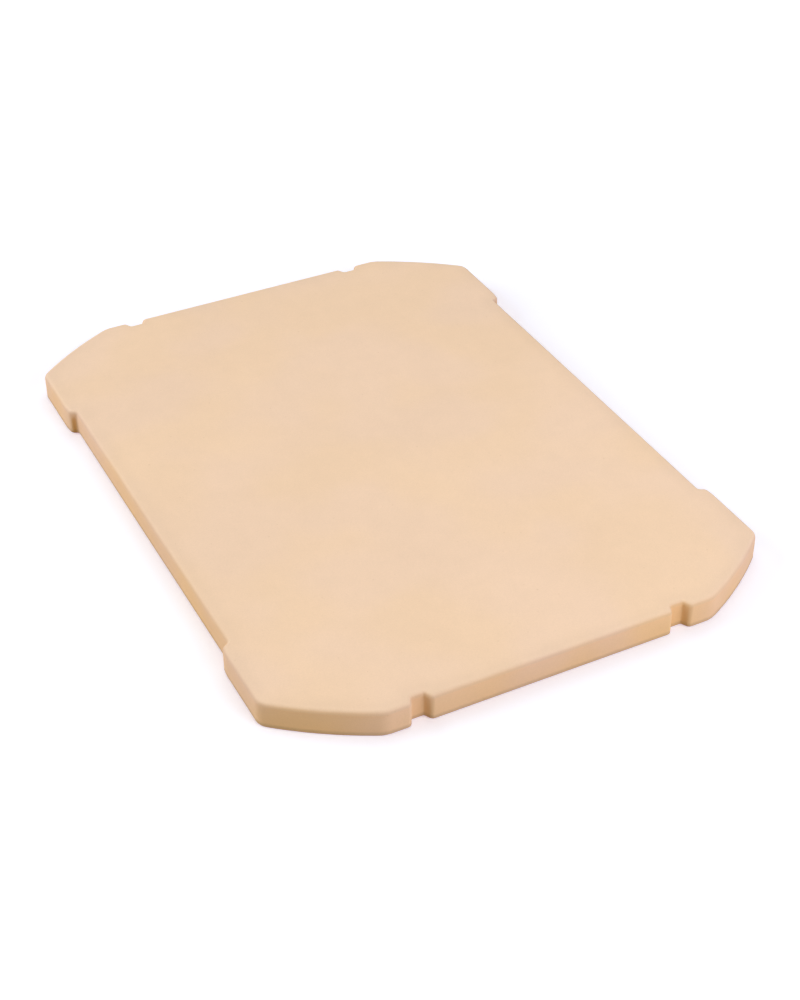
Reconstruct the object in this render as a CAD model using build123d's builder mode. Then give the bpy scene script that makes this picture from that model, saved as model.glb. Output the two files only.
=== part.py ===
"""Pizza stone: one moulded slab of fired ceramic.

The slab lies on its flat underside, with its origin at the middle of that underside. X runs across
the short way, Y along the long way, and Z up to the cooking face.
"""

import os

from build123d import *

# Slab
slab_width = 330.0
slab_length = 450.0
slab_thickness = 17.5

# Rounding round the cooking face and round the underside
rim_radius = 3.0
foot_radius = 1.0

# Corners, cut across and bowed outwards, with a softer bend at the short end than at the long side
corner_cut_on_end = 58.8
corner_cut_on_side = 39.0
corner_cut_bow = 2.5
corner_end_radius = 17.0
corner_side_radius = 10.0

# Lugs at the four corners: a straight face, a nose that falls away a little, then a steep step
# down to the recess between the two lugs of a long side
lug_face_length = 44.6
lug_nose_length = 7.0
lug_nose_fall = 0.85
lug_nose_radius = 40.0
lug_step_run = 2.2
lug_crest_radius = 1.0
recess_depth = 5.2
recess_root_radius = 2.5

# Notches, two in each short end, with slanted flanks
notch_from_corner_cut = 21.8
notch_mouth_width = 14.0
notch_root_width = 5.4
notch_depth = 5.0
notch_crest_radius = 1.0
notch_root_radius = 2.0

# Where the outline bends outwards, the wall turns on the crest radius that is left on the cooking
# face plus the rim, so the rounded rim runs round the bend at its full width
notch_lip_radius = notch_crest_radius + rim_radius
lug_lip_radius = lug_crest_radius + rim_radius

# Places along the outline of one quarter
half_width = slab_width / 2
half_length = slab_length / 2
end_reach = half_width - corner_cut_on_end
side_reach = half_length - corner_cut_on_side
notch_centre = end_reach - notch_from_corner_cut
notch_bottom = half_length - notch_depth
nose_start = side_reach - lug_face_length
nose_end = nose_start - lug_nose_length
recess_end = nose_end - lug_step_run
recess_face = half_width - recess_depth

with BuildPart() as pizza_stone:
    with BuildSketch():
        with BuildLine() as outline:
            end_edge = FilletPolyline(
                (0, half_length),
                (notch_centre - notch_mouth_width / 2, half_length),
                (notch_centre - notch_root_width / 2, notch_bottom),
                (notch_centre + notch_root_width / 2, notch_bottom),
                (notch_centre + notch_mouth_width / 2, half_length),
                (end_reach, half_length),
                radius=(notch_lip_radius, notch_root_radius, notch_root_radius, notch_lip_radius),
            )
            corner_cut = SagittaArc(end_edge @ 1, (half_width, side_reach), corner_cut_bow)
            side_edge = FilletPolyline(
                corner_cut @ 1,
                (half_width, nose_start),
                (half_width - lug_nose_fall, nose_end),
                (recess_face, recess_end),
                (recess_face, 0),
                radius=(lug_nose_radius, lug_lip_radius, recess_root_radius),
            )
            # The cut corner runs into the end and the side over soft bends
            fillet(outline.vertices().sort_by_distance(corner_cut @ 0)[0], radius=corner_end_radius)
            fillet(outline.vertices().sort_by_distance(corner_cut @ 1)[0], radius=corner_side_radius)
            mirror(about=Plane.YZ)
            mirror(about=Plane.XZ)
        make_face()
    extrude(amount=slab_thickness)
    fillet(pizza_stone.faces().sort_by(Axis.Z)[-1].edges(), radius=rim_radius)
    fillet(pizza_stone.faces().sort_by(Axis.Z)[0].edges(), radius=foot_radius)

os.makedirs("parts", exist_ok=True)
pizza_stone.part.label = "pizza_stone"
export_step(pizza_stone.part, "parts/pizza_stone.step")
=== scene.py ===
"""Pizza stone: the look of one moulded slab of fired clay, set on a pale studio floor.

The slab lies on its underside, with the origin at the middle of that underside. X runs across the
short way, Y along the long way, and Z up to the cooking face. All lengths are in metres.
"""

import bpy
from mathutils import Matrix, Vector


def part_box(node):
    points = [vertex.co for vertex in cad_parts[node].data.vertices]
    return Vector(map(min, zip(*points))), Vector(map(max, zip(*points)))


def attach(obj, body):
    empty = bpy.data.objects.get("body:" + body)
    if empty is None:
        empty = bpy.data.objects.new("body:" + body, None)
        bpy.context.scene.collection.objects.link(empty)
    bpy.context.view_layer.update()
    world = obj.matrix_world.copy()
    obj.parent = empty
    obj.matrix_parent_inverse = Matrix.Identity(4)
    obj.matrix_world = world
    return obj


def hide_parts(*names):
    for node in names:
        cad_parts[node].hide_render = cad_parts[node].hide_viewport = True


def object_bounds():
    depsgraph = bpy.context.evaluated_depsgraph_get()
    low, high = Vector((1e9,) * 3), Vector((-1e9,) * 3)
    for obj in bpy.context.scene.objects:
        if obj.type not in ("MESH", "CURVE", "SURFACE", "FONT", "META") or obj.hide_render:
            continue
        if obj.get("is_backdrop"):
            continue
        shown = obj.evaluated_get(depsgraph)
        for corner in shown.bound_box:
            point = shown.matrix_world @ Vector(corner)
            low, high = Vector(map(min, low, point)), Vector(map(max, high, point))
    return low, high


bl_info = {
    "name": "Pizza Stone",
    "version": (1, 0, 0),
    "blender": (4, 5, 0),
    "location": "3D View > Sidebar > Pizza Stone",
    "description": "Makes a moulded slab of fired clay and the studio floor that it lies on",
    "category": "Object",
}

from functools import partial
from math import atan2, ceil, cos, pi, radians, sin, sqrt, tan

import bpy
from bpy.props import FloatProperty, FloatVectorProperty, IntProperty, PointerProperty
from mathutils import Matrix, Vector
from mathutils.geometry import delaunay_2d_cdt
from mathutils.kdtree import KDTree

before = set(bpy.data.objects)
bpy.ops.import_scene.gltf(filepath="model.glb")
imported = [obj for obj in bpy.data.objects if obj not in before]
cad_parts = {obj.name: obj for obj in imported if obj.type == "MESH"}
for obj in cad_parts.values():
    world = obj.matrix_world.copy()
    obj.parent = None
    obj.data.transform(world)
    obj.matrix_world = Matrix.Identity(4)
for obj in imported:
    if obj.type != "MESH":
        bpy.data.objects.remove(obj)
CAD_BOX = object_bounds()
SLAB_LOW, SLAB_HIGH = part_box("pizza_stone")
MM = 0.001

# Most that two neighbouring points of the outline lie apart, and most that the wall turns between them
OUTLINE_STEP = 1.6 * MM
OUTLINE_TURN = radians(6)

# A straight run may be longer than whole steps by this share of one before it is divided once more
SPARE_STEP = 0.001

# Points of the outline, and points of the mesh, that lie nearer to each other than this are one
SAME_PLACE = 0.001 * MM
SAME_POINT = 0.002 * MM


# Settings


def length(name, millimetres, description):
    return FloatProperty(
        name=name, description=description, default=millimetres * MM, min=0.0,
        precision=5, subtype="DISTANCE", unit="LENGTH",
    )


def place(name, millimetres, description):
    return FloatProperty(
        name=name, description=description, default=millimetres * MM, subtype="DISTANCE", unit="LENGTH",
    )


def colour(name, value, description):
    return FloatVectorProperty(
        name=name, description=description, default=value, min=0.0, max=1.0, size=3, subtype="COLOR",
    )


def share(name, value, description):
    return FloatProperty(
        name=name, description=description, default=value, min=0.0, max=1.0, subtype="FACTOR",
    )


def angle(name, degrees, description):
    return FloatProperty(
        name=name, description=description, default=radians(degrees), subtype="ANGLE", unit="ROTATION",
    )


def watts(name, value, description):
    return FloatProperty(name=name, description=description, default=value, min=0.0, unit="POWER")


def points(name, value, description):
    return IntProperty(name=name, description=description, default=value, min=3)


class SlabSizes(bpy.types.PropertyGroup):
    """Sizes of the moulded slab. The outer three follow the pizza_stone part in model.glb."""

    width: length("Width", (SLAB_HIGH[0] - SLAB_LOW[0]) / MM, "Across the two lugs of a short end")
    length: length("Length", (SLAB_HIGH[1] - SLAB_LOW[1]) / MM, "From one short end to the other")
    thickness: length("Thickness", (SLAB_HIGH[2] - SLAB_LOW[2]) / MM, "From underside to cooking face")
    rim_radius: length("Rim radius", 3.0, "Rounding between the cooking face and the wall")
    foot_radius: length("Foot radius", 1.0, "Rounding between the wall and the underside")
    cut_on_end: length("Corner cut on the end", 58.8, "How much of the short end a corner cut takes")
    cut_on_side: length("Corner cut on the side", 39.0, "How much of the long side a corner cut takes")
    cut_bow: length("Corner cut bow", 2.5, "How far a corner cut bows outwards at its middle")
    cut_end_radius: length("Bend at the end", 17.0, "Bend from a corner cut into the short end")
    cut_side_radius: length("Bend at the side", 10.0, "Bend from a corner cut into the long side")
    lug_face: length("Lug face", 45.6, "Straight face of a lug along the long side")
    lug_nose: length("Lug nose", 7.0, "Length over which a lug falls away to its step")
    lug_fall: length("Lug fall", 0.85, "How far a lug has fallen away at its step")
    lug_nose_radius: length("Nose bend", 40.0, "Bend between a lug's face and its nose")
    lug_step: length("Step run", 2.2, "Run of the steep step into the recess")
    lug_crest: length("Lug crest", 1.0, "Bend left on the cooking face at the lug's step")
    recess_depth: length("Recess depth", 5.2, "How far the long side stands back between its lugs")
    recess_root: length("Recess root", 2.5, "Hollow bend at the foot of the lug's step")
    notch_place: length("Notch place", 21.8, "From a corner cut to the middle of its notch")
    notch_mouth: length("Notch mouth", 12.8, "Width of a notch at the short end's face")
    notch_floor: length("Notch floor", 7.6, "Width of a notch at its bottom")
    notch_depth: length("Notch depth", 5.0, "How far a notch reaches into the slab")
    notch_crest: length("Notch crest", 0.4, "Bend left on the cooking face at a notch's lips")
    notch_root: length("Notch root", 1.2, "Hollow bends at the bottom of a notch")
    unevenness: length("Unevenness", 0.14, "How deep the pressed faces dip between their high spots")
    facet: length("Facet", 3.2, "Spacing of the mesh points on the flat faces")
    rim_points: points("Rim points", 11, "Mesh points across the rounded rim")
    wall_points: points("Wall points", 9, "Mesh points from the rim down to the foot")
    foot_points: points("Foot points", 7, "Mesh points across the rounded foot")
    seed: IntProperty(name="Seed", description="Picks one lay of the unevenness", default=7, min=0)


class ClayFinish(bpy.types.PropertyGroup):
    """Colours and surface of the fired clay."""

    # Painted light: the cooking face's paler tone and the walls' warmer tone are lit and less lit tones of
    # one clay, and the rim's darker tone is painted shade
    face: colour("Cooking face", (0.860, 0.624, 0.458), "Pale buff of the cooking face, painted paler as brightly lit clay looks")
    wall: colour("Wall", (0.858, 0.548, 0.330), "Warmer buff of the walls, painted as less lit clay looks")
    rim: colour("Rim", (0.775, 0.510, 0.332), "Buff of the rounded rim, a little darker than the wall, as painted shade")
    under: colour("Underside", (0.800, 0.560, 0.370), "Buff of the underside")
    # Painted shade along the wall's lowest line, where it meets the floor
    foot_shade: share("Foot shade", 0.20, "How much the lowest line of the wall is darkened")
    speck: colour("Speck", (0.520, 0.330, 0.190), "Darker grains in the clay")
    mottling: share("Mottling", 0.035, "How much the colour drifts over the slab")
    border: share("Border", 0.045, "How much darker the cooking face is beside its rim")
    # Painted shade in the notches and at the lugs' steps
    notch_shade: share("Notch shade", 0.07, "How much painted shade darkens the notches")
    step_shade: share("Step shade", 0.26, "How much painted shade darkens the lugs' steps")
    hue_drift: share("Hue drift", 0.10, "How much broad patches of the walls lean to orange or to rose")
    grain: share("Grain", 0.04, "How much single grains differ in colour")
    specks: share("Specks", 0.22, "How strongly the darker grains show")
    roughness: share("Roughness", 0.80, "Roughness of the cooking face")
    pores: length("Pore depth", 0.04, "Depth of the finest pores and grain")


class StudioSetup(bpy.types.PropertyGroup):
    """Camera, lamps and floor."""

    azimuth: angle("Azimuth", -26.5295, "Camera's turn round the slab, from straight in front")
    elevation: angle("Elevation", 36.5463, "Camera's height over the floor as an angle")
    roll: angle("Roll", -0.5393, "Camera's tilt to one side")
    distance: length("Distance", 1172.02, "From the camera to the point that it looks at")
    look_x: place("Look X", -2.098, "Point on the floor that the camera looks at")
    look_y: place("Look Y", -35.652, "Point on the floor that the camera looks at")
    lens: FloatProperty(name="Lens", description="Focal length in millimetres on a 36 mm frame",
                        default=66.054, min=1.0)
    front_light: watts("Front light", 18.1, "Power of the standing panel before the short end")
    side_light: watts("Side light", 49.0, "Power of the standing panel beside the long side")
    fill_light: watts("Fill light", 7.1, "Power of the warm panel overhead, on the near side")
    back_light: watts("Back light", 24.5, "Power of the panel overhead, on the far side")
    air_light: FloatProperty(name="Air light", description="Strength of the light from all round",
                             default=0.02, min=0.0)
    paper: colour("Paper", (0.60, 0.81, 0.90), "Share of the floor's white that takes the slab's shadow")
    shade: colour("Shade", (0.44, 0.25, 0.30), "Share of the floor's white that stays in the shadow")
    bounce: colour("Bounce", (0.50, 0.49, 0.48), "Colour of the floor for the light that it throws back")
    shade_end: length("Shade end", 270.0, "From the slab's middle to where the shadow starts to fade")
    white_start: length("White start", 600.0, "From the slab's middle to where the floor is plain white")
    floor_reach: length("Floor reach", 6000.0, "From the slab's middle to the floor's edges")


# Node helpers


def add(tree, kind, values=None, **settings):
    """Adds a node. Values are keyed by socket name or number, and each is a plain value or a socket."""
    node = tree.nodes.new(kind)
    for key, value in settings.items():
        setattr(node, key, value)
    for key, value in (values or {}).items():
        if isinstance(value, bpy.types.NodeSocket):
            tree.links.new(value, node.inputs[key])
        else:
            node.inputs[key].default_value = value
    return node


def first_of(tree, kind, values=None, **settings):
    """Adds a node and gives its first output."""
    return add(tree, kind, values, **settings).outputs[0]


def calculate(tree, operation, *values):
    """Works out one number from others."""
    return first_of(tree, "ShaderNodeMath", dict(enumerate(values)), operation=operation)


def remap(tree, value, low, high, to_low=0.0, to_high=1.0, kind="SMOOTHSTEP"):
    """Takes a number from one range to another, and never beyond the second one."""
    ends = {"From Min": low, "From Max": high, "To Min": to_low, "To Max": to_high}
    return first_of(tree, "ShaderNodeMapRange", {"Value": value, **ends}, interpolation_type=kind)


def mix_colours(tree, factor, first, second, blend="MIX"):
    """Mixes two colours. On this node, the inputs 6 and 7 and the output 2 are the ones for colours."""
    return add(tree, "ShaderNodeMix", {0: factor, 6: first, 7: second},
               data_type="RGBA", blend_type=blend).outputs[2]


def join_colour(tree, red, green, blue):
    """Makes one colour of three numbers."""
    return first_of(tree, "ShaderNodeCombineColor", {0: red, 1: green, 2: blue})


def opaque(tint):
    """A colour as the four numbers that a socket takes."""
    return (*tint, 1.0)


def lay_out(tree):
    """Puts each node in a column by how many links it is away from the tree's end."""
    column_width, row_height = 220, 260
    depth = {node: 0 for node in tree.nodes}
    for _ in range(len(tree.nodes)):
        for link in tree.links:
            depth[link.from_node] = max(depth[link.from_node], depth[link.to_node] + 1)
    rows = {}
    for node in tree.nodes:
        row = rows[depth[node]] = rows.get(depth[node], 0) + 1
        node.location = (-column_width * depth[node], -row_height * row)


# The slab's outline


def arc(centre, radius, start, turn):
    """Points of an arc with their directions away from its centre."""
    count = max(2, ceil(abs(turn) / OUTLINE_TURN), ceil(abs(turn) * radius / OUTLINE_STEP))
    for k in range(count + 1):
        heading = start + turn * k / count
        way = Vector((cos(heading), sin(heading)))
        yield centre + way * radius, way


def bend(before, corner, after, radius):
    """Points of the round between two straight runs, with the directions away from the clay."""
    way_in = (corner - before).normalized()
    way_out = (after - corner).normalized()
    turn = way_in.angle_signed(way_out, 0.0)
    side = 1.0 if turn > 0 else -1.0
    first = corner - way_in * radius * tan(abs(turn) / 2)
    out = Vector((-way_in.y, way_in.x)) * side
    centre = first - out * radius
    for point, way in arc(centre, radius, atan2(out.y, out.x), -turn):
        yield point, way * side


def bends(corners, radii):
    """Points of the rounds at the inner corners of a run, with one radius to each of them."""
    for before, corner, after, radius in zip(corners, corners[1:], corners[2:], radii):
        yield from bend(before, corner, after, radius)


def corner_cut(size):
    """Points of a bowed corner cut and its two soft bends, from the short end to the long side."""
    half_width, half_length = size.width / 2, size.length / 2
    first = Vector((half_width - size.cut_on_end, half_length))
    last = Vector((half_width, half_length - size.cut_on_side))
    chord = last - first
    radius = (chord.length / 2) ** 2 / (2 * size.cut_bow) + size.cut_bow / 2
    inward = Vector((chord.y, -chord.x)).normalized()
    centre = (first + last) / 2 + inward * (radius - size.cut_bow)

    def beside(bend_radius, across):
        return sqrt((radius - bend_radius) ** 2 - across ** 2)

    end_y = half_length - size.cut_end_radius
    end_centre = Vector((centre.x + beside(size.cut_end_radius, end_y - centre.y), end_y))
    side_x = half_width - size.cut_side_radius
    side_centre = Vector((side_x, centre.y + beside(size.cut_side_radius, side_x - centre.x)))
    end_way = atan2(*(end_centre - centre).yx)
    side_way = atan2(*(side_centre - centre).yx)
    yield from arc(end_centre, size.cut_end_radius, pi / 2, end_way - pi / 2)
    yield from arc(centre, radius, end_way, side_way - end_way)
    yield from arc(side_centre, size.cut_side_radius, side_way, -side_way)


def fill_in(run):
    """Divides the straight runs between the given points, and leaves out points that fall together."""
    filled = [run[0]]
    for point, way in run[1:]:
        start, start_way = filled[-1]
        gap = (point - start).length
        if gap < SAME_PLACE:
            continue
        pieces = ceil(gap / OUTLINE_STEP - SPARE_STEP)
        for k in range(1, pieces):
            along = k / pieces
            filled.append((start.lerp(point, along), start_way.lerp(way, along).normalized()))
        filled.append((point, way))
    return filled


def quarter_outline(size):
    """Outline of the quarter at +X and +Y, clockwise from the end's middle to the side's middle.

    Gives pairs of a point on the wall and the direction straight out of the wall there.
    """
    half_width, half_length = size.width / 2, size.length / 2
    end_reach = half_width - size.cut_on_end
    side_reach = half_length - size.cut_on_side
    notch = end_reach - size.notch_place
    floor = half_length - size.notch_depth
    nose_start = side_reach - size.lug_face
    nose_end = nose_start - size.lug_nose
    recess = half_width - size.recess_depth
    lip = size.notch_crest + size.rim_radius
    crest = size.lug_crest + size.rim_radius
    end = [
        Vector((0, half_length)),
        Vector((notch - size.notch_mouth / 2, half_length)),
        Vector((notch - size.notch_floor / 2, floor)),
        Vector((notch + size.notch_floor / 2, floor)),
        Vector((notch + size.notch_mouth / 2, half_length)),
        Vector((end_reach, half_length)),
    ]
    side = [
        Vector((half_width, side_reach)),
        Vector((half_width, nose_start)),
        Vector((half_width - size.lug_fall, nose_end)),
        Vector((recess, nose_end - size.lug_step)),
        Vector((recess, 0)),
    ]
    return fill_in([
        (end[0], Vector((0, 1))),
        *bends(end, (lip, size.notch_root, size.notch_root, lip)),
        *corner_cut(size),
        *bends(side, (size.lug_nose_radius, crest, size.recess_root)),
        (side[-1], Vector((1, 0))),
    ])


def whole_outline(size):
    """Outline of the whole slab, anticlockwise, from the four mirrored quarters."""
    quarter = quarter_outline(size)
    loop = []
    for flip_x, flip_y in ((1, 1), (-1, 1), (-1, -1), (1, -1)):
        flip = Vector((flip_x, flip_y))
        piece = [(point * flip, way * flip) for point, way in quarter]
        # Each quarter shares its first and last points with its neighbours
        loop += piece[:0:-1] if flip_x * flip_y > 0 else piece[:-1]
    return loop


def flat_face(size):
    """Mesh of the flat cooking face inside the rounded rim, with even points all over it."""
    loop = whole_outline(size)
    rim = [point - way * size.rim_radius for point, way in loop]
    nearest = KDTree(len(rim))
    for k, point in enumerate(rim):
        nearest.insert((point.x, point.y, 0), k)
    nearest.balance()

    # The inner points stand in rows, each half a facet off the next, and keep clear of the rim
    clear = 0.55 * size.facet
    spots = [point / MM for point in rim]
    row_height = size.facet * sqrt(3) / 2
    rows = int(size.length / 2 / row_height)
    columns = int(size.width / 2 / size.facet) + 1
    for row in range(-rows, rows + 1):
        for column in range(-columns, columns + 1):
            point = Vector(((column + 0.5 * (row % 2)) * size.facet, row * row_height))
            _, k, _ = nearest.find((point.x, point.y, 0))
            if (rim[k] - point).dot(loop[k][1]) > clear:
                spots.append(point / MM)

    # The triangles are worked out in millimetres, and only those inside the rim are kept
    inside_only, closest = 1, 0.00001
    border = list(range(len(rim)))
    spots, _, faces, _, _, _ = delaunay_2d_cdt(spots, [], [border], inside_only, closest)
    mesh = bpy.data.meshes.new("flat_face")
    mesh.from_pydata([(x * MM, y * MM, 0) for x, y in spots], [], faces)
    mesh.validate()
    return mesh


# The rule that makes the slab from its flat face


def slab_tree():
    """Geometry Nodes that round the rim, drop the wall, turn the foot under and close the underside."""
    tree = bpy.data.node_groups.new("moulded_slab", "GeometryNodeTree")
    for name, kind in (
        ("Flat Face", "Geometry"),
        ("Thickness", "Float"),
        ("Rim Radius", "Float"),
        ("Foot Radius", "Float"),
        ("Rim Points", "Int"),
        ("Wall Points", "Int"),
        ("Foot Points", "Int"),
        ("Unevenness", "Float"),
        ("Seed", "Int"),
        ("Clay", "Material"),
    ):
        socket = tree.interface.new_socket(name, in_out="INPUT", socket_type="NodeSocket" + kind)
        if kind == "Float":
            socket.subtype = "DISTANCE"
    tree.interface.new_socket("Slab", in_out="OUTPUT", socket_type="NodeSocketGeometry")
    given = add(tree, "NodeGroupInput").outputs
    node = partial(first_of, tree)
    number = partial(calculate, tree)

    def at(x=0.0, y=0.0, z=0.0):
        return node("ShaderNodeCombineXYZ", {"X": x, "Y": y, "Z": z})

    def moved(shape, where):
        return node("GeometryNodeTransform", {"Geometry": shape, "Translation": where})

    def join(*parts):
        whole = add(tree, "GeometryNodeJoinGeometry")
        for part in parts:
            tree.links.new(part, whole.inputs[0])
        return whole.outputs[0]

    # Path: the flat face's edges that border on one triangle alone, made to run anticlockwise. On a
    # comparison, the inputs 2 and 3 are the ones for whole numbers, and 0 and 1 those for others
    neighbours = node("GeometryNodeInputMeshEdgeNeighbors")
    lone = node("FunctionNodeCompare", {2: neighbours, 3: 1}, data_type="INT", operation="EQUAL")
    edge = node("GeometryNodeMeshToCurve", {"Mesh": given["Flat Face"], "Selection": lone})
    sweep = node("ShaderNodeVectorMath",
                 {0: node("GeometryNodeInputPosition"), 1: node("GeometryNodeInputTangent")},
                 operation="CROSS_PRODUCT")
    swept = add(tree, "ShaderNodeSeparateXYZ", {0: sweep}).outputs["Z"]
    turning = add(tree, "GeometryNodeAttributeStatistic", {"Geometry": edge, "Attribute": swept})
    clockwise = node("FunctionNodeCompare", {0: turning.outputs["Sum"], 1: 0.0},
                     data_type="FLOAT", operation="LESS_THAN")
    path = node("GeometryNodeReverseCurve", {"Curve": edge, "Selection": clockwise})
    path = node("GeometryNodeSetCurveNormal", {"Curve": path}, mode="Z_UP")

    # Profile: X runs outwards from the flat face's edge, Y downwards
    rim, foot, drop = given["Rim Radius"], given["Foot Radius"], given["Thickness"]
    seat = number("SUBTRACT", rim, foot)
    bottom = number("SUBTRACT", drop, foot)

    def quarter_round(count, radius, start, where):
        turn = node("GeometryNodeCurveArc",
                    {"Resolution": count, "Radius": radius, "Start Angle": start, "Sweep Angle": pi / 2},
                    mode="RADIUS")
        return moved(turn, where)

    def straight(start, end):
        return node("GeometryNodeCurvePrimitiveLine", {"Start": start, "End": end}, mode="POINTS")

    wall = node("GeometryNodeResampleCurve",
                {"Curve": straight(at(rim, rim), at(rim, bottom)), "Count": given["Wall Points"]})
    profile = join(
        straight(at(seat, drop), at(0.0, drop)),
        quarter_round(given["Foot Points"], foot, 0.0, at(seat, bottom)),
        wall,
        quarter_round(given["Rim Points"], rim, -pi / 2, at(0.0, rim)),
    )
    band = node("GeometryNodeCurveToMesh", {"Curve": path, "Profile Curve": profile})

    # Underside: the same flat face, lowered and turned over
    lowered = moved(given["Flat Face"], at(z=number("MULTIPLY", drop, -1.0)))
    underside = node("GeometryNodeFlipFaces", {"Mesh": lowered})
    shell = join(underside, band, given["Flat Face"])
    closed = node("GeometryNodeMergeByDistance", {"Geometry": shell, "Distance": SAME_POINT})

    # Pressed clay dips a little between its high spots, and never stands proud of them
    def waves(repeats, offset, depth):
        lay = number("ADD", given["Seed"], offset)
        swell = node("ShaderNodeTexNoise", {"W": lay, "Scale": repeats, "Detail": 1.0, "Roughness": 0.4},
                     noise_dimensions="4D")
        return number("MULTIPLY", swell, depth)

    broad = waves(repeats=15.0, offset=0.0, depth=0.8)
    fine = waves(repeats=70.0, offset=0.5, depth=0.2)
    dip = number("MULTIPLY", number("ADD", broad, fine), number("MULTIPLY", given["Unevenness"], -1.0))
    inwards = node("ShaderNodeVectorMath", {0: node("GeometryNodeInputNormal"), "Scale": dip},
                   operation="SCALE")
    pressed = node("GeometryNodeSetPosition", {"Geometry": closed, "Offset": inwards})

    # How far each point lies from the flat face's edge, for the darker band on the cooking face beside its
    # rim
    border = node("GeometryNodeCurveToMesh", {"Curve": path})
    nearest = add(tree, "GeometryNodeProximity", {"Geometry": border}, target_element="EDGES")
    marked = node("GeometryNodeStoreNamedAttribute",
                  {"Geometry": pressed, "Name": "from_rim", "Value": nearest.outputs["Distance"]},
                  data_type="FLOAT", domain="POINT")

    raised = moved(marked, at(z=drop))
    smooth = node("GeometryNodeSetShadeSmooth", {"Geometry": raised, "Shade Smooth": True})
    real = node("GeometryNodeRealizeInstances", {"Geometry": smooth})
    clad = node("GeometryNodeSetMaterial", {"Geometry": real, "Material": given["Clay"]})
    add(tree, "NodeGroupOutput", {"Slab": clad})
    lay_out(tree)
    return tree


def make_plain(maker, name, tree, values):
    """Runs a node tree on an object with the given inputs, and gives the result as a plain object."""
    modifier = maker.modifiers.new(tree.name, "NODES")
    modifier.node_group = tree
    for item in tree.interface.items_tree:
        if item.in_out == "INPUT" and item.name in values:
            modifier[item.identifier] = values[item.name]
    bpy.context.view_layer.update()
    evaluated = maker.evaluated_get(bpy.context.evaluated_depsgraph_get())
    mesh = bpy.data.meshes.new_from_object(evaluated)
    mesh.name = name
    # The tree's bare curves leave an empty slot behind the material's own
    while mesh.materials and mesh.materials[-1] is None:
        mesh.materials.pop()
    maker.modifiers.remove(modifier)
    bpy.data.objects.remove(maker)
    piece = bpy.data.objects.new(name, mesh)
    bpy.context.collection.objects.link(piece)
    return piece


# Materials

# Patterns in the clay: how many times each repeats in a metre, and how many finer levels it has
COLOUR_EDGES = (35.0, 3.0)
WORN_EDGE = (45.0, 3.0)
BROAD_TONES = (11.0, 2.0)
MIDDLING_TONES = (85.0, 4.0)
GRAIN_TONES = (1300.0, 3.0)
HUE_PATCHES = (16.0, 1.0)
FINE_PORES = (900.0, 4.0)
GLOSS_PATCHES = (60.0, 3.0)

# The part of a pattern's values that is stretched over its whole effect
PATTERN_RANGE = (0.3, 0.7)
GRAIN_RANGE = (0.25, 0.75)
HUE_RANGE = (0.36, 0.64)

# Specks and pits lie in cells, so many to the metre, and their edges are soft, in shares of a cell
SPECK_CELLS = 210.0
SPECK_EDGE = (0.03, -0.03)
PIT_CELLS = 620.0
PIT_EDGE = (-0.10, 0.06)

# Where one colour gives way to another, by how far up the clay faces: 1 is the cooking face, 0 a
# wall and -1 the underside
WALL_TO_RIM = (0.02, 0.40)
RIM_TO_FACE = (0.45, 0.98)
WALL_TO_UNDERSIDE = (-0.4, -0.9)

# Heights over which the painted shade along the wall's lowest line ends, and over which its warmer colour
# fades
FOOT_SHADE_HEIGHTS = (1.3 * MM, 4.0 * MM)
WARM_HEIGHTS = (3.0 * MM, 14.0 * MM)

# How far the darker band's inner side wanders, and the distances from the rim over which it fades
BORDER_WANDER = 8.0 * MM
BORDER_FADE = (1.0 * MM, 16.0 * MM)

# Where the painted shade in the hollows thins out, in shares: up the wall, of the thickness; round a
# lug's step, of the recess's depth; round a notch, of its mouth
SHADE_TOP = (0.55, 0.85)
STEP_SPREAD = (0.1, 0.5)
NOTCH_SPREAD = (0.35, 0.6)

# How strongly the painted shade takes red, green and blue away, and how deep in a notch its middle lies
SHADE_TINT = (0.45, 1.0, 2.0)
NOTCH_SHADE_DEPTH = 0.8


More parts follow.
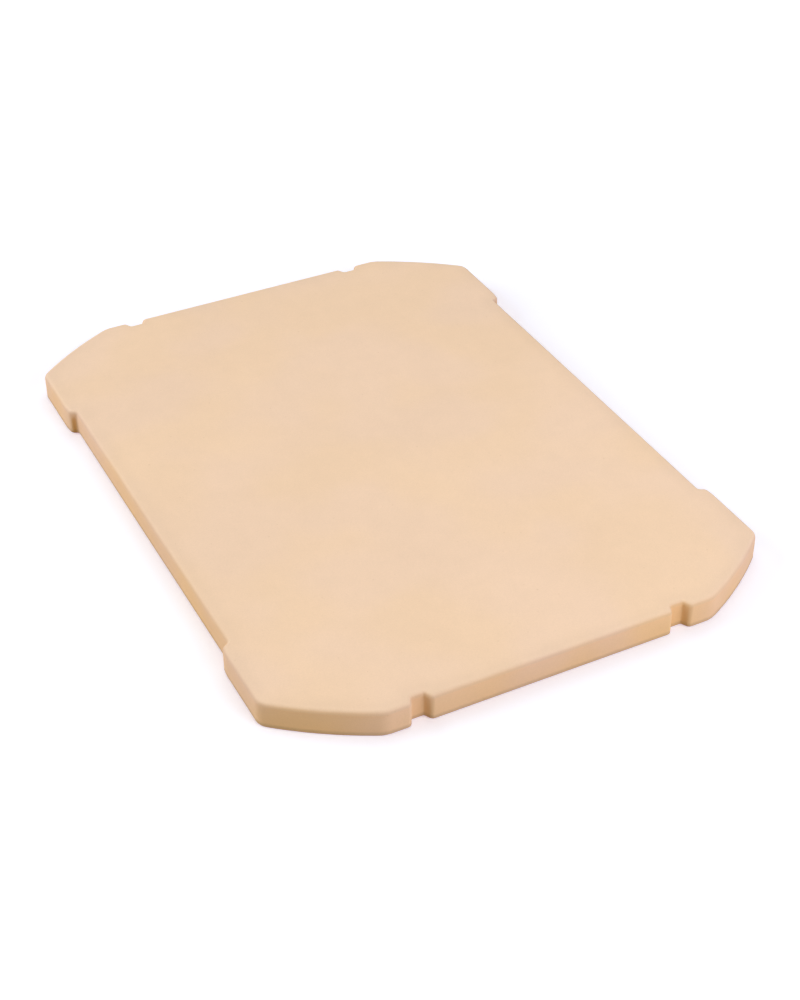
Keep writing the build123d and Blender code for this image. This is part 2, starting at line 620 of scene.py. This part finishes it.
def fired_clay(finish, size):
    """Unglazed fired clay: a cooking face painted paler as lit clay, walls painted warmer as less lit clay,
    a rim, the walls' lowest line and the hollows darkened with painted shade, grain, specks and pores.
    """
    clay = bpy.data.materials.new("unglazed_clay")
    clay.use_nodes = True
    tree = clay.node_tree
    tree.nodes.clear()
    where = add(tree, "ShaderNodeTexCoord").outputs
    spot = where["Object"]
    node = partial(first_of, tree)
    number = partial(calculate, tree)
    ramp = partial(remap, tree)
    mix = partial(mix_colours, tree)
    rgb = partial(join_colour, tree)

    def noise(pattern):
        repeats, detail = pattern
        return node("ShaderNodeTexNoise", {"Vector": spot, "Scale": repeats, "Detail": detail})

    def tinted(base, tint):
        return mix(1.0, base, tint, "MULTIPLY")

    def toned(base, tone):
        return tinted(base, rgb(tone, tone, tone))

    # Which way the clay faces, a little unevenly: the walls, then the rounded rim, then the cooking face.
    # The face's paler tone and the walls' warmer tone are painted lit and less lit tones, and the rim's
    # darker tone is painted shade
    up = add(tree, "ShaderNodeSeparateXYZ", {0: where["Normal"]}).outputs["Z"]
    wander = 0.06
    facing = number("ADD", up, number("MULTIPLY_ADD", noise(COLOUR_EDGES), 2 * wander, -wander))
    face = ramp(facing, *RIM_TO_FACE)
    base = mix(ramp(facing, *WALL_TO_RIM), opaque(finish.wall), opaque(finish.rim))
    base = mix(face, base, opaque(finish.face))
    base = mix(ramp(up, *WALL_TO_UNDERSIDE), base, opaque(finish.under))

    # The wall is warmer low down, and painted shade darkens its lowest line, where it meets the floor
    height = add(tree, "ShaderNodeSeparateXYZ", {0: spot}).outputs["Z"]
    foot_shade = ramp(height, *FOOT_SHADE_HEIGHTS, 1.0 - finish.foot_shade, 1.0)
    blue_below, blue_above = 0.96, 1.02
    blue = number("MULTIPLY", foot_shade, ramp(height, *WARM_HEIGHTS, blue_below, blue_above, "LINEAR"))
    base = tinted(base, rgb(foot_shade, foot_shade, blue))

    # The cooking face is made a little darker in a faint, uneven band beside its rim
    from_rim = add(tree, "ShaderNodeAttribute", attribute_name="from_rim").outputs["Fac"]
    inwards = number("MULTIPLY_ADD", noise(WORN_EDGE), BORDER_WANDER, from_rim)
    darker_band = ramp(inwards, *BORDER_FADE, finish.border, 0.0)
    base = toned(base, number("SUBTRACT", 1.0, number("MULTIPLY", darker_band, face)))

    # Painted shade in the four notches, and low down at the steps of the four lugs, where these hollows lie
    # in shade
    half_width, half_length = size.width / 2, size.length / 2
    notch_x = half_width - size.cut_on_end - size.notch_place
    notch_y = half_length - NOTCH_SHADE_DEPTH * size.notch_depth
    step_x = half_width - (size.lug_fall + size.recess_depth) / 2
    step_y = half_length - size.cut_on_side - size.lug_face - size.lug_nose - size.lug_step / 2
    quarter = node("ShaderNodeVectorMath", {0: spot}, operation="ABSOLUTE")
    flat = node("ShaderNodeVectorMath", {0: quarter, 1: (1.0, 1.0, 0.0)}, operation="MULTIPLY")

    def fade(value, spread, unit, amount):
        return ramp(value, spread[0] * unit, spread[1] * unit, amount, 0.0)

    def shade_at(x, y, spread, unit, amount):
        off = add(tree, "ShaderNodeVectorMath", {0: flat, 1: (x, y, 0.0)}, operation="DISTANCE")
        return fade(off.outputs["Value"], spread, unit, amount)

    shade_amount = number("MULTIPLY_ADD",
                   fade(height, SHADE_TOP, size.thickness, 1.0),
                   shade_at(step_x, step_y, STEP_SPREAD, size.recess_depth, finish.step_shade),
                   shade_at(notch_x, notch_y, NOTCH_SPREAD, size.notch_mouth, finish.notch_shade))
    hollow = number("MULTIPLY", shade_amount, number("SUBTRACT", 1.0, face))
    base = tinted(base, rgb(*(number("MULTIPLY_ADD", hollow, -taken, 1.0) for taken in SHADE_TINT)))

    # Broad and middling drift of the colour, and the single grains
    middling_share, grain_lift = 0.6, 0.4
    broad = ramp(noise(BROAD_TONES), *PATTERN_RANGE, 1.0 - finish.mottling, 1.0, "LINEAR")
    middling = ramp(noise(MIDDLING_TONES), *PATTERN_RANGE,
                    1.0 - middling_share * finish.mottling, 1.0, "LINEAR")
    grains = ramp(noise(GRAIN_TONES), *GRAIN_RANGE,
                  1.0 - finish.grain, 1.0 + grain_lift * finish.grain, "LINEAR")
    base = toned(base, number("MULTIPLY", number("MULTIPLY", broad, middling), grains))

    # Broad patches of the fired clay lean to rose, and others to orange, more so on the walls
    repeats, detail = HUE_PATCHES
    lay, share_on_face, red_loss = 125.0, 0.25, 0.3
    patches = node("ShaderNodeTexNoise", {"Vector": spot, "W": lay, "Scale": repeats, "Detail": detail},
                   noise_dimensions="4D")
    lean = ramp(patches, *HUE_RANGE)
    swing = ramp(face, 0.0, 1.0, finish.hue_drift, share_on_face * finish.hue_drift, "LINEAR")
    red = number("MULTIPLY_ADD", number("MULTIPLY", swing, lean), -red_loss, 1.0)
    blue = number("MULTIPLY_ADD", swing, number("MULTIPLY_ADD", lean, 2.0, -1.0), 1.0)
    base = tinted(base, rgb(red, 1.0, blue))

    def scattered(cells, rarity, largest):
        """How far it is to a round spot's edge, below 0 inside it, and a random number to each spot."""
        cell = add(tree, "ShaderNodeTexVoronoi", {"Vector": spot, "Scale": cells}).outputs
        chance = add(tree, "ShaderNodeSeparateColor", {0: cell["Color"]}).outputs
        reach = ramp(chance[0], rarity, 1.0, 0.0, largest, "LINEAR")
        return number("SUBTRACT", cell["Distance"], reach), chance[1]

    # Darker grains, scattered and all of different size
    off, chance = scattered(SPECK_CELLS, rarity=0.55, largest=0.13)
    faintest = 0.25
    strength = number("MULTIPLY", ramp(chance, 0.0, 1.0, faintest, 1.0, "LINEAR"), finish.specks)
    base = mix(number("MULTIPLY", ramp(off, *SPECK_EDGE), strength), base, opaque(finish.speck))

    # Fine pores and pits as relief
    off, _ = scattered(PIT_CELLS, rarity=0.5, largest=0.22)
    pore_height, pit_height = 0.7, 0.6
    relief = number("ADD", number("MULTIPLY", noise(FINE_PORES), pore_height),
                    number("MULTIPLY", ramp(off, *PIT_EDGE), pit_height))
    bump = node("ShaderNodeBump", {"Strength": 0.5, "Distance": finish.pores, "Height": relief})

    # The walls, which the mould pressed, are a touch smoother than the cooking face
    uneven, smoother = 0.05, 0.04
    rough = number("ADD", ramp(noise(GLOSS_PATCHES), *PATTERN_RANGE, -uneven, uneven, "LINEAR"),
                   ramp(face, 0.0, 1.0, finish.roughness - smoother, finish.roughness, "LINEAR"))
    shader = add(tree, "ShaderNodeBsdfPrincipled", {"Base Color": base, "Roughness": rough, "Normal": bump})
    shader.inputs["IOR"].default_value = 1.45
    shader.inputs["Specular IOR Level"].default_value = 0.35
    add(tree, "ShaderNodeOutputMaterial", {"Surface": shader.outputs[0]})
    lay_out(tree)
    return clay


def seen_directly(tree):
    """1 for what the camera sees straight, in a gloss or through glass, and 0 for other light."""
    light = add(tree, "ShaderNodeLightPath").outputs
    shown = calculate(tree, "MAXIMUM", light["Is Camera Ray"], light["Is Glossy Ray"])
    return calculate(tree, "MAXIMUM", shown, light["Is Transmission Ray"])


def floor_paper(studio):
    """White paper that keeps a faint, short shadow near the slab, and is plain white further out."""
    paper = bpy.data.materials.new("floor_paper")
    paper.use_nodes = True
    paper.cycles.emission_sampling = "NONE"
    tree = paper.node_tree
    tree.nodes.clear()
    seen = seen_directly(tree)
    tint = mix_colours(tree, seen, opaque(studio.bounce), opaque(studio.paper))
    matt = first_of(tree, "ShaderNodeBsdfDiffuse", {"Color": tint})
    spot = add(tree, "ShaderNodeTexCoord").outputs["Object"]
    out = add(tree, "ShaderNodeVectorMath", {0: spot}, operation="LENGTH").outputs["Value"]
    far = remap(tree, out, studio.shade_end, studio.white_start)
    white = mix_colours(tree, far, opaque(studio.shade), opaque((1.0, 1.0, 1.0)))
    glow = first_of(tree, "ShaderNodeEmission", {"Color": white, "Strength": seen})
    both = first_of(tree, "ShaderNodeAddShader", {0: matt, 1: glow})
    add(tree, "ShaderNodeOutputMaterial", {"Surface": both})
    lay_out(tree)
    return paper


# The stage


def white_floor(studio):
    """A square floor, level with the slab's underside."""
    reach = studio.floor_reach
    mesh = bpy.data.meshes.new("floor")
    mesh.from_pydata([(-reach, -reach, 0), (reach, -reach, 0), (reach, reach, 0), (-reach, reach, 0)],
                     [], [(0, 1, 2, 3)])
    mesh.materials.append(floor_paper(studio))
    floor = bpy.data.objects.new("floor", mesh)
    bpy.context.collection.objects.link(floor)
    return floor


def studio_air(studio):
    """Faint light from all round, which the camera sees as plain white."""
    air = bpy.data.worlds.new("studio_air")
    air.use_nodes = True
    tree = air.node_tree
    tree.nodes.clear()
    strength = remap(tree, seen_directly(tree), 0.0, 1.0, studio.air_light, 1.0, "LINEAR")
    light = first_of(tree, "ShaderNodeBackground", {"Color": opaque((1.0, 1.0, 1.0)), "Strength": strength})
    add(tree, "ShaderNodeOutputWorld", {"Surface": light})
    lay_out(tree)
    return air


def panel_lamp(name, power, turn, out, high, size, tint):
    """A panel lamp that faces the slab's middle, with its turn round the slab in degrees."""
    data = bpy.data.lights.new(name, "AREA")
    data.energy = power
    data.color = tint
    data.shape = "RECTANGLE"
    data.size, data.size_y = size
    away = Vector((cos(radians(turn)) * out, sin(radians(turn)) * out, high))
    lamp = bpy.data.objects.new(name, data)
    lamp.location = away
    lamp.rotation_euler = away.to_track_quat("Z", "Y").to_euler()
    lamp.visible_camera = False
    bpy.context.collection.objects.link(lamp)


def fitted_camera(studio):
    """The camera, where its settings put it."""
    level = cos(studio.elevation)
    back = Vector((sin(studio.azimuth) * level, -cos(studio.azimuth) * level, sin(studio.elevation)))
    right = Vector((cos(studio.azimuth), sin(studio.azimuth), 0))
    up = back.cross(right)
    turned = Matrix((right, up, back)).transposed() @ Matrix.Rotation(studio.roll, 3, "Z")
    lens = bpy.data.cameras.new("camera")
    lens.sensor_width = 36.0
    lens.lens = studio.lens
    camera = bpy.data.objects.new("camera", lens)
    camera.matrix_world = turned.to_4x4()
    camera.location = Vector((studio.look_x, studio.look_y, 0)) + back * studio.distance
    bpy.context.collection.objects.link(camera)
    return camera


# Operators


class PIZZASTONE_OT_slab(bpy.types.Operator):
    """Makes the moulded slab with its rounded rim, lugs, recesses and notches"""

    bl_idname = "pizza_stone.slab"
    bl_label = "Make the Slab"
    bl_options = {"REGISTER", "UNDO"}

    def execute(self, context):
        size = context.scene.stone_sizes
        clay = fired_clay(context.scene.stone_finish, size)
        maker = bpy.data.objects.new("slab_maker", flat_face(size))
        maker.data.materials.append(clay)
        context.collection.objects.link(maker)
        slab = make_plain(maker, "moulded_slab", slab_tree(), {
            "Thickness": size.thickness,
            "Rim Radius": size.rim_radius,
            "Foot Radius": size.foot_radius,
            "Rim Points": size.rim_points,
            "Wall Points": size.wall_points,
            "Foot Points": size.foot_points,
            "Unevenness": size.unevenness,
            "Seed": size.seed,
            "Clay": clay,
        })
        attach(slab, "root")
        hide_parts("pizza_stone")
        return {"FINISHED"}


class PIZZASTONE_OT_stage(bpy.types.Operator):
    """Sets the floor, the lamps and the camera"""

    bl_idname = "pizza_stone.stage"
    bl_label = "Set the Stage"
    bl_options = {"REGISTER", "UNDO"}

    def execute(self, context):
        scene = context.scene
        studio = scene.stone_studio
        white_floor(studio)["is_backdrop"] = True
        scene.world = studio_air(studio)
        panel_lamp("front_light", studio.front_light, turn=-61, out=1.4, high=0.62,
                   size=(1.3, 1.2), tint=(0.87, 0.89, 1.0))
        panel_lamp("side_light", studio.side_light, turn=150, out=2.2, high=0.97,
                   size=(2.0, 1.9), tint=(0.92, 0.95, 1.0))
        panel_lamp("fill_light", studio.fill_light, turn=-120, out=0.8, high=1.25,
                   size=(1.5, 1.5), tint=(1.0, 0.90, 0.48))
        panel_lamp("back_light", studio.back_light, turn=60, out=1.2, high=1.88,
                   size=(2.2, 2.2), tint=(0.98, 1.0, 0.93))
        scene.camera = fitted_camera(studio)
        scene.view_settings.view_transform = "Standard"
        return {"FINISHED"}


class PIZZASTONE_PT_panel(bpy.types.Panel):
    """Lists what makes the pizza stone, with its settings"""

    bl_idname = "PIZZASTONE_PT_panel"
    bl_label = "Pizza Stone"
    bl_space_type = "VIEW_3D"
    bl_region_type = "UI"
    bl_category = "Pizza Stone"

    def draw(self, context):
        for holder, operator in (
            ("stone_sizes", None),
            ("stone_finish", PIZZASTONE_OT_slab),
            ("stone_studio", PIZZASTONE_OT_stage),
        ):
            box = self.layout.box()
            settings = getattr(context.scene, holder)
            for key in settings.bl_rna.properties.keys():
                if key not in {"rna_type", "name"}:
                    box.prop(settings, key)
            if operator:
                box.operator(operator.bl_idname)


CLASSES = (SlabSizes, ClayFinish, StudioSetup, PIZZASTONE_OT_slab, PIZZASTONE_OT_stage, PIZZASTONE_PT_panel)
HOLDERS = {"stone_sizes": SlabSizes, "stone_finish": ClayFinish, "stone_studio": StudioSetup}


def register():
    for kind in CLASSES:
        bpy.utils.register_class(kind)
    for holder, kind in HOLDERS.items():
        setattr(bpy.types.Scene, holder, PointerProperty(type=kind))


def unregister():
    for holder in HOLDERS:
        delattr(bpy.types.Scene, holder)
    for kind in reversed(CLASSES):
        bpy.utils.unregister_class(kind)


def main():
    register()
    bpy.ops.pizza_stone.slab()
    bpy.ops.pizza_stone.stage()
    boxes = {"cad": CAD_BOX, "visual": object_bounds()}
    {name: [list(map(float, corner)) for corner in box] for name, box in boxes.items()}


if __name__ == "__main__":
    main()
